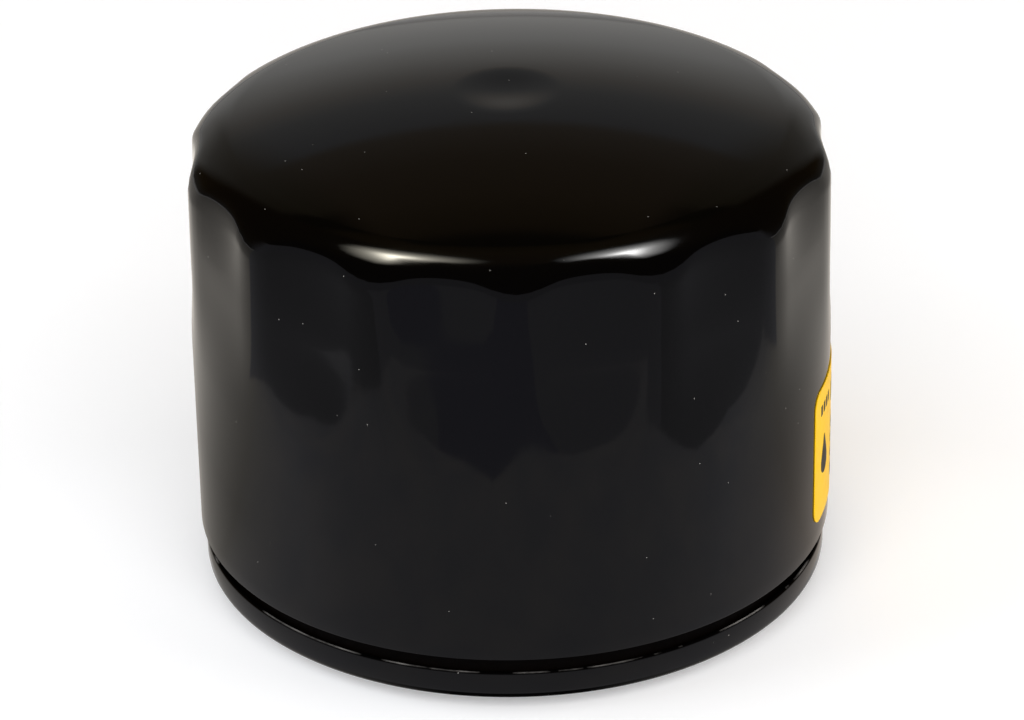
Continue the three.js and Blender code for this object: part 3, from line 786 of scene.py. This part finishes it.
def make_clip():
    """A folded strip over one outer fold, which clamps the paper's two ends together."""
    metal_sheet, half = 0.35, 1.32
    low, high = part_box("media_seam_clip")
    reach_out = high.x / MM - metal_sheet / 2
    line = [(reach_out - 4, half), (reach_out, half), (reach_out, -half), (reach_out - 4, -half)]
    centre = [Vector(p) for p in rounded(line, 0.5, loop=False)]
    side = sheet(line, metal_sheet, bend=0.5)
    floor, ceiling = low.z / MM, high.z / MM
    count = len(side)
    points = [(*p, floor) for p in side] + [(*p, ceiling) for p in side]
    faces = [(k, (k + 1) % count, count + (k + 1) % count, count + k) for k in range(count)]
    strip = len(centre)
    for base in (0, count):
        left = [base + k for k in range(strip)]
        right = [base + 2 * strip + 2 - k for k in range(strip)]
        for k in range(strip - 1):
            faces.append((left[k], left[k + 1], right[k + 1], right[k]))
        faces.append(tuple([left[-1]] + [base + strip + k for k in range(3)] + [right[-1]]))
        faces.append(tuple([right[0]] + [base + 2 * strip + 3 + k for k in range(3)] + [left[0]]))
    return make("seam_clip", points, faces, TIN)


fit_in(make_clip(), "housing", "tinned_sheet", "media_seam_clip")


def make_tube():
    """The centre tube, with four staggered rows of round holes through both walls."""
    low, high = bottom("center_tube"), top("center_tube")
    rows, per_row, radius = 4, 3, 2.6
    ring = rounded([(14, low), (14.8, low), (14.8, high), (14, high)], 0.15, steps=2)
    tube = revolve("center_tube_rolled", ring, TIN, angles=144)
    drills = []
    for row in range(rows):
        z = low + (high - low) * (row + 1) / (rows + 1)
        for i in range(per_row):
            # A drill lies along Y before it is turned to its place.
            turn = Matrix.Rotation(pi * (i + (row % 2) / 2) / per_row, 4, "Z")
            lay = Matrix.Rotation(pi / 2, 4, "X")
            outline = [(0, -20), (radius, -20), (radius, 20), (0, 20)]
            drill = revolve("drill", outline, TIN, angles=36)
            drill.matrix_world = Matrix.Translation((0, 0, z * MM)) @ turn @ lay
            drills.append(drill)
    return cut(tube, drills)


fit_in(make_tube(), "housing", "tinned_sheet", "center_tube")


# ---- Bypass valve ----------------------------------------------------------------------------

CAGE_BOTTOM = bottom("bypass_valve_cage")
FLANGE_Z = 51.9
POPPET_TOP = top("bypass_valve_poppet")


def make_cage():
    """A cup in the centre tube with three windows and a guide hole for the stem."""
    half = 0.3
    line = [(2.0, CAGE_BOTTOM + half), (8.7, CAGE_BOTTOM + half), (8.7, FLANGE_Z + half),
            (11.85, FLANGE_Z + half)]
    cage = revolve("bypass_cage", sheet(line, 0.6, bend=0.8), TIN, angles=120)
    low, high = CAGE_BOTTOM + 2.6, POPPET_TOP - 0.7
    cutters = []
    for i in range(3):
        plan = rounded([(-5, low), (5, low), (5, high), (-5, high)], 1.2)
        points = [(x, y, z) for x in (6, 12) for y, z in plan]
        count = len(plan)
        faces = [tuple(range(count)), tuple(range(2 * count - 1, count - 1, -1))]
        faces += [(k, (k + 1) % count, count + (k + 1) % count, count + k) for k in range(count)]
        window = make("window", points, faces, TIN)
        window.matrix_world = Matrix.Rotation(2 * pi * i / 3, 4, "Z")
        cutters.append(window)
    return cut(cage, cutters)


fit_in(make_cage(), "housing", "tinned_sheet", "bypass_valve_cage")

seat_top = top("bypass_valve_seat")
seat = rounded(
    [(5.0, 52.2), (5.8, 52.2), (5.8, seat_top - 0.6), (12.0, seat_top - 0.6), (12.0, seat_top),
     (5.0, seat_top)], [0.2, 0.15, 0.15, 0.15, 0.15, 0.35])
fit_in(revolve("bypass_seat", seat, TIN, angles=96), "housing", "tinned_sheet",
       "bypass_valve_seat")

seal_low, seal_high = bottom("bypass_valve_seal"), top("bypass_valve_seal")
seal = rounded([(0, seal_low), (7.0, seal_low), (7.0, seal_high), (0, seal_high)],
               [0, 0.2, 0.2, 0])
fit_in(revolve("bypass_seal", seal, NITRILE, angles=96), "bypass_poppet", "gasket_rubber",
       "bypass_valve_seal")

stem_low = bottom("bypass_valve_poppet")
poppet = rounded(
    [(0, stem_low), (1.6, stem_low), (1.6, POPPET_TOP - 0.8), (7.6, POPPET_TOP - 0.8),
     (7.6, POPPET_TOP), (0, POPPET_TOP)], [0, 0.4, 0.9, 0.25, 0.15, 0])
fit_in(revolve("bypass_poppet_turned", poppet, SPRING, angles=96), "bypass_poppet",
       "spring_steel", "bypass_valve_poppet")

BYPASS_WIRE = 0.9
BYPASS_TURNS = 5
BYPASS_RADIUS = 4.6
spring_low, spring_high = bottom("bypass_valve_spring"), top("bypass_valve_spring")


def bypass_height(turn):
    """The end turns lie close, and the turns between them rise evenly."""
    low, high = spring_low + BYPASS_WIRE / 2, spring_high - BYPASS_WIRE / 2
    close = 1.0
    if turn < 1:
        return low + close * turn
    if turn > BYPASS_TURNS - 1:
        return high - close * (BYPASS_TURNS - turn)
    open_part = (turn - 1) / (BYPASS_TURNS - 2)
    return low + close + (high - low - 2 * close) * open_part


bypass_spring = coil("bypass_spring", SPRING, BYPASS_WIRE, BYPASS_TURNS,
                     lambda turn: BYPASS_RADIUS, bypass_height)
fit_in(bypass_spring, "housing", "spring_steel", "bypass_valve_spring")
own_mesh(bypass_spring)


# ---- Element spring --------------------------------------------------------------------------

ELEMENT_WIRE = 1.8
ELEMENT_TURNS = 3.5
ELEMENT_WIDE, ELEMENT_NARROW = 15.6, 8.8
element_low = bottom("element_spring") + ELEMENT_WIRE / 2
element_high = top("element_spring") - ELEMENT_WIRE / 2


def element_height(turn):
    """Flat spirals at both ends with a steep climb between them."""
    rise = min(max((turn - 1) / (ELEMENT_TURNS - 2), 0), 1)
    return element_low + (element_high - element_low) * rise * rise * (3 - 2 * rise)


def element_radius(turn):
    return ELEMENT_WIDE + (ELEMENT_NARROW - ELEMENT_WIDE) * turn / ELEMENT_TURNS


fit_in(coil("element_spring_wire", SPRING, ELEMENT_WIRE, ELEMENT_TURNS, element_radius,
            element_height, sides=18), "housing", "spring_steel", "element_spring")


# ---- Label -----------------------------------------------------------------------------------

LABEL_START = radians(68.5)
LABEL_LENGTH = 50.0
LABEL_LOW, LABEL_HIGH = bottom("label"), top("label")
LABEL_INNER, LABEL_OUTER = 38.02, 38.14


def wrapped(name, shapes, inner, outer, material):
    """Flat shapes of (along, height) points, bent round the can between two radii."""
    shaped = bmesh.new()
    for shape in shapes:
        shaped.faces.new([shaped.verts.new((x, z, 0)) for x, z in shape])
    for k in range(1, ceil(LABEL_LENGTH)):
        bmesh.ops.bisect_plane(shaped, geom=shaped.verts[:] + shaped.edges[:] + shaped.faces[:],
                               plane_co=(k, 0, 0), plane_no=(1, 0, 0))
    raised = bmesh.ops.extrude_face_region(shaped, geom=shaped.faces[:])["geom"]
    for vertex in (v for v in raised if isinstance(v, bmesh.types.BMVert)):
        vertex.co.z = outer - inner
    for vertex in shaped.verts:
        along, z, height = vertex.co
        a, r = LABEL_START + along / CAN_RADIUS, inner + height
        vertex.co = (r * sin(a) * MM, -r * cos(a) * MM, z * MM)
    mesh = bpy.data.meshes.new(name)
    shaped.to_mesh(mesh)
    shaped.free()
    return finish_mesh(name, mesh, material)


def label_box(margin, radius):
    """A rounded rectangle at a margin inside the label's edge."""
    left, right = margin, LABEL_LENGTH - margin
    low, high = LABEL_LOW + margin, LABEL_HIGH - margin
    return rounded([(left, low), (right, low), (right, high), (left, high)], radius, steps=8)


def bar(left, low, width, height):
    return [(left, low), (left + width, low), (left + width, low + height), (left, low + height)]


def oil_drop(x, z, size):
    """A plain drop: a half circle below and a point above."""
    lower = arc((x, z), size, 205, 335, 14)
    side = [(x + size * f * 0.92, z + size * g) for f, g in
            ((1.0, 0.1), (0.72, 0.75), (0.4, 1.35), (0.13, 2.0))]
    return lower + side + [(x - (p - x), q) for p, q in side[::-1]]


film = wrapped("label_film", [label_box(0, 2.0)], LABEL_INNER, LABEL_OUTER, FILM)
fit_in(film, "housing", "label_film", "label")

ink_shapes = [oil_drop(4.1, 17.6, 1.7)]
ink_shapes += [bar(2.2 + 1.3 * k, 24.2, 0.75, 1.3) for k in range(4)]
ink_shapes += [bar(9.5, 22.6, 27, 2.4), bar(9.5, 19.0, 34, 0.9), bar(9.5, 17.0, 31, 0.9),
               bar(9.5, 15.0, 36, 0.9), bar(9.5, 12.4, 14, 1.4), bar(26, 12.4, 10, 1.4)]
fit_in(wrapped("label_print", ink_shapes, LABEL_OUTER - 0.03, LABEL_OUTER + 0.02, INK),
       "housing", "label_film")


# ---- Set: floor, lights, room ----------------------------------------------------------------

FLOOR_Z = -0.0002
FLOOR_GLOW = 0.25                # a little light of its own, so that shadows stay light


def staged(name, mesh, material):
    mesh.materials.append(material)
    made = bpy.data.objects.new(name, mesh)
    bpy.context.scene.collection.objects.link(made)
    return made


def flat_card(name, outline, height, material):
    """A flat stage card from its plan outline in metres."""
    mesh = bpy.data.meshes.new(name)
    mesh.from_pydata([(x, y, height) for x, y in outline], [], [tuple(range(len(outline)))])
    return staged(name, mesh, material)


def floor_material():
    """White paper, which is clear from below so that the underside can be seen."""
    made = Finish("white_floor", (0.80, 0.80, 0.81), 0.9)
    made.fix(Specular_IOR_Level=0.0, Emission_Color=(1.0, 1.0, 1.0, 1),
             Emission_Strength=FLOOR_GLOW)
    choice = made.node("ShaderNodeMixShader")
    made.feed(choice.inputs[0], made.where.node.outputs["Backfacing"])
    made.feed(choice.inputs[1], made.shader.outputs[0])
    made.feed(choice.inputs[2], made.node("ShaderNodeBsdfTransparent").outputs[0])
    made.feed(made.tree.nodes["Material Output"].inputs["Surface"], choice.outputs[0])
    return made.material


def glow_material(name, color):
    """A material that only glows, with its nodes and its emission node."""
    made = bpy.data.materials.new(name)
    made.use_nodes = True
    nodes = Nodes(made.node_tree)
    nodes.tree.nodes.remove(nodes.tree.nodes["Principled BSDF"])
    glow = nodes.node("ShaderNodeEmission", Color=(*color, 1), Strength=1.0)
    nodes.feed(nodes.tree.nodes["Material Output"].inputs["Surface"], glow.outputs[0])
    return made, nodes, glow


flat_card("floor", [(-1.6, -1.2), (1.6, -1.2), (1.6, 2.2), (-1.6, 2.2)], FLOOR_Z,
          floor_material())


def reflected_only(card):
    """Shows a card only in the paint, not to the camera and not as light or shadow."""
    card.visible_camera = False
    card.visible_diffuse = False
    card.visible_shadow = False
    return card


def glowing(finish, color):
    """Makes a finish glow in a colour that another node gives, and not shine."""
    finish.feed(finish.shader.inputs["Emission Color"], color)
    finish.fix(Emission_Strength=1.0, Specular_IOR_Level=0.0)
    return finish.material


def paper_mirror():
    """What the paint mirrors of the paper: even in front, dimmer beside and behind the filter."""
    made = Finish("paper_mirror", (0, 0, 0), 1.0)
    parts = made.node("ShaderNodeSeparateXYZ", Vector=made.where)
    stops = ((0.20, 0.44), (0.30, 0.50), (0.40, 0.74), (0.50, 0.92), (0.62, 1.0), (0.75, 0.62))
    near = made.ramp(made.math("DIVIDE", made.axis_distance(), 200),
                     [(place, (level, level * 0.94, level * 0.86)) for place, level in stops])
    front = made.remap(parts.outputs["Y"], (-0.034, -0.004), (1, 0))
    cloud = made.remap(made.noise(16, detail=3), (0.35, 0.65), (0, 1))
    paper = made.mix(cloud, (0.85, 0.85, 0.92), (0.98, 0.95, 0.98))
    right = made.remap(parts.outputs["X"], (-0.02, 0.04), (0, 1))
    close = made.remap(made.axis_distance(), (55, 90), (1, 0))
    warm = made.mix(made.math("MULTIPLY", right, close), near, (0.70, 0.62, 0.55))
    return glowing(made, made.mix(front, warm, paper))


def mirror_card(name, outline, height, material):
    """A flat card over the floor that only the paint sees. Its outline is in millimetres."""
    metres = [(x * MM, y * MM) for x, y in outline]
    return reflected_only(flat_card(name, metres, height * MM, material))


def ring_card(name, inner, outer, height, material):
    """A flat ring over the floor that only the paint sees."""
    steps = 96
    points, faces = [], []
    for k in range(steps):
        a = 2 * pi * k / steps
        points += [(r * sin(a), -r * cos(a), height) for r in (inner, outer)]
        n = (k + 1) % steps
        faces.append((2 * k, 2 * k + 1, 2 * n + 1, 2 * n))
    mesh = bpy.data.meshes.new(name)
    mesh.from_pydata([[c * MM for c in p] for p in points], [], faces)
    reflected_only(staged(name, mesh, material))


def ring_shadow():
    """The dark gap under the seam: darkest in front and behind, and open to the light beside."""
    made = Finish("ring_shadow", (0, 0, 0), 1.0)
    across = made.node("ShaderNodeSeparateXYZ", Vector=made.where).outputs["X"]
    beside = made.remap(made.math("ABSOLUTE", across), (0.008, 0.026), (0, 1))
    return glowing(made, made.mix(beside, (0.02, 0.02, 0.02), (0.60, 0.58, 0.56)))


ring_card("paper_mirror", 38.7, 700.0, 0.0, paper_mirror())
ring_card("ring_shadow", 31.0, 38.9, 0.1, ring_shadow())

# Painted reflection of the dark table beyond the paper, on glowing cards that only the paint sees.
# Its edge is torn and folded, and parts of it are lighter.
TABLE_EDGE = [(-96, 2), (-104, -37), (-105, -52), (-90, -65), (-64, -98), (-54, -116),
              (-30, -108), (-10, -93), (0, -100), (24, -107), (50, -110), (64, -104), (65, -84),
              (70, -66), (74, -53), (86, -47), (104, -42), (112, -28), (102, 2)]
TABLE = (
    ("table", 0.2, (0.50, 0.50, 0.54),
     TABLE_EDGE + [(1590, 15), (1590, -1190), (-1590, -1190), (-1590, 15)]),
    ("table_middle", 0.3, (0.50, 0.50, 0.63),
     [(-45, -113), (-30, -108), (-10, -93), (0, -100), (27, -107), (297, -1190), (-455, -1190)]),
    ("table_left", 0.3, (0.66, 0.66, 0.73),
     [(-64, -98), (-54, -116), (-45, -113), (-455, -1190), (-1400, -1190)]),
    ("table_right", 0.3, (0.64, 0.64, 0.71),
     [(27, -107), (50, -110), (64, -104), (65, -84), (68, -73), (1100, -1190), (297, -1190)]))
for table_name, table_height, table_color, table_outline in TABLE:
    mirror_card(table_name, table_outline, table_height,
                glow_material(table_name, table_color)[0])


def soft_light(name, place, size, power, color):
    """A large soft light aimed at the filter, which the gloss paint doesn't mirror."""
    data = bpy.data.lights.new(name, "AREA")
    data.shape = "RECTANGLE"
    data.size, data.size_y = size
    data.energy = power
    data.color = color
    made = bpy.data.objects.new(name, data)
    made.location = place
    aim = Vector((0, 0, 0.03)) - Vector(place)
    made.rotation_euler = aim.to_track_quat("-Z", "Y").to_euler()
    made.visible_glossy = False
    bpy.context.scene.collection.objects.link(made)


soft_light("front_light", (0, -0.85, 0.62), (1.2, 0.8), 12.2, (1.0, 1.0, 1.0))
soft_light("left_light", (-0.85, -0.10, 0.55), (0.7, 0.7), 4.6, (0.90, 0.95, 1.0))
soft_light("right_light", (0.85, -0.15, 0.45), (0.7, 0.7), 3.7, (1.0, 0.97, 0.93))
soft_light("top_light", (0, 0.30, 1.10), (1.0, 0.7), 2.8, (1.0, 1.0, 1.0))


LAMP_HEIGHT = 660
LAMP_LEVELS = ((0.0, 0.0), (0.12, 1.5), (0.22, 3.6), (0.32, 6.5), (0.42, 9.5), (0.53, 14.0),
               (0.65, 24.0), (0.75, 44.0), (0.85, 68.0), (1.0, 110.0))


def lamp(name, core, outline, color):
    """A lamp that the paint mirrors: brightest at its core and dim towards its rim. Both are in
    millimetres, seen from above."""
    made, nodes, glow = glow_material(name, color)
    fade = nodes.node("ShaderNodeAttribute")
    fade.attribute_name = "fade"
    ramp = nodes.node("ShaderNodeFloatCurve", Value=fade.outputs["Fac"])
    curve = ramp.mapping.curves[0]
    peak = LAMP_LEVELS[-1][1]
    for place, level in LAMP_LEVELS[1:-1]:
        curve.points.new(place, level / peak)
    for point in curve.points:
        point.handle_type = "VECTOR"
    ramp.mapping.update()
    nodes.feed(glow.inputs["Strength"], nodes.math("MULTIPLY", ramp.outputs[0], peak))
    count = len(outline)
    mesh = bpy.data.meshes.new(name)
    mesh.from_pydata([(x * MM, y * MM, LAMP_HEIGHT * MM) for x, y in [core] + outline], [],
                     [(0, 1 + k, 1 + (k + 1) % count) for k in range(count)])
    mesh.attributes.new("fade", "FLOAT", "POINT").data[0].value = 1.0
    reflected_only(staged(name, mesh, made))


lamp("left_lamp", (-200, 112),
     [(-325, -60), (-335, 60), (-328, 150), (-308, 202), (-260, 225), (-200, 214), (-150, 192),
      (-100, 166), (-60, 138), (-28, 92), (-40, 60), (-90, 50), (-165, 45), (-195, 32),
      (-215, 5), (-245, -25), (-280, -55)], (1.0, 0.94, 0.79))
lamp("right_lamp", (208, 104),
     [(325, -50), (352, 10), (345, 60), (328, 130), (315, 175), (288, 212), (240, 227),
      (190, 212), (150, 196), (118, 166), (95, 140), (75, 110), (65, 75), (85, 45), (150, 48),
      (205, 44), (240, 22), (280, -18)], (0.98, 0.97, 0.96))


def room():
    """The room that the paint mirrors: a bay behind the table that is light low down and brown
    higher up, dimmer on both sides of it, a low gray backdrop in front, and darkness elsewhere."""
    world = bpy.data.worlds.new("room")
    world.use_nodes = True
    nodes = Nodes(world.node_tree)
    parts = nodes.node("ShaderNodeSeparateXYZ",
                       Vector=nodes.node("ShaderNodeTexCoord").outputs["Generated"])
    turn = nodes.math("ARCTAN2", parts.outputs["X"], parts.outputs["Y"])
    aside = nodes.math("ABSOLUTE", turn)

    def over(first, second, start, end):
        """Goes from the first look to the second between two angles away from +Y."""
        share = nodes.remap(aside, (radians(start), radians(end)), (0, 1), "SMOOTHSTEP")
        return nodes.mix(share, first, second)

    def upwards(stops):
        """A look that changes with the height angle, from stops of (degrees, colour)."""
        return nodes.ramp(parts.outputs["Z"], [(sin(radians(a)), color) for a, color in stops])

    bay = upwards((
        (0, (0.62, 0.61, 0.59)), (9, (0.70, 0.69, 0.67)), (15, (0.62, 0.60, 0.57)),
        (21, (0.44, 0.41, 0.38)), (25, (0.33, 0.33, 0.33)), (32, (0.30, 0.30, 0.31)),
        (33.5, (0.24, 0.20, 0.16)), (40, (0.20, 0.15, 0.10)), (47, (0.20, 0.14, 0.08)),
        (53, (0.15, 0.10, 0.04)), (54.5, (0.03, 0.02, 0.001)), (58, (0.03, 0.02, 0.001)),
        (60, (0.10, 0.065, 0.012)), (68, (0.18, 0.12, 0.04)), (80, (0.16, 0.10, 0.04)),
        (90, (0.04, 0.025, 0.01))))
    flank = upwards((
        (0, (0.62, 0.61, 0.59)), (12, (0.50, 0.48, 0.45)), (20, (0.30, 0.28, 0.25)),
        (33, (0.19, 0.16, 0.12)), (44, (0.14, 0.11, 0.06)), (46, (0.03, 0.02, 0.001)),
        (51, (0.03, 0.02, 0.001)), (54, (0.11, 0.07, 0.015)), (68, (0.18, 0.12, 0.04)),
        (80, (0.15, 0.10, 0.04)), (90, (0.04, 0.025, 0.01))))
    dark = upwards((
        (0, (0.10, 0.09, 0.08)), (12, (0.07, 0.045, 0.015)), (40, (0.05, 0.025, 0.002)),
        (75, (0.06, 0.035, 0.003)), (90, (0.04, 0.025, 0.01))))
    front = upwards((
        (0, (0.51, 0.51, 0.57)), (20.5, (0.50, 0.50, 0.56)), (22.5, (0.03, 0.02, 0.01)),
        (40, (0.02, 0.010, 0.002)), (90, (0.04, 0.025, 0.01))))
    look = over(bay, flank, 15, 20)
    look = over(look, dark, 30, 38)
    look = over(look, front, 80, 95)
    nodes.feed(nodes.tree.nodes["Background"].inputs["Color"], look)
    bpy.context.scene.world = world


room()


# ---- Camera ----------------------------------------------------------------------------------

def camera():
    """A long lens from the front and above, turned slightly about its own axis."""
    data = bpy.data.cameras.new("camera")
    data.sensor_width = 36
    data.lens = 162.4
    data.clip_start = 0.01
    down, roll = radians(27.91), radians(1.05)
    ahead = Vector((0, cos(down), -sin(down)))
    right = Vector((1, 0, 0))
    up = right.cross(ahead)
    x_axis = right * cos(roll) - up * sin(roll)
    y_axis = up * cos(roll) + right * sin(roll)
    made = bpy.data.objects.new("camera", data)
    made.matrix_world = Matrix((
        (x_axis.x, y_axis.x, -ahead.x, 0.0),
        (x_axis.y, y_axis.y, -ahead.y, -0.4885),
        (x_axis.z, y_axis.z, -ahead.z, 0.2850),
        (0, 0, 0, 1)))
    bpy.context.scene.collection.objects.link(made)
    bpy.context.scene.camera = made


camera()
bpy.context.scene.view_settings.view_transform = "Standard"
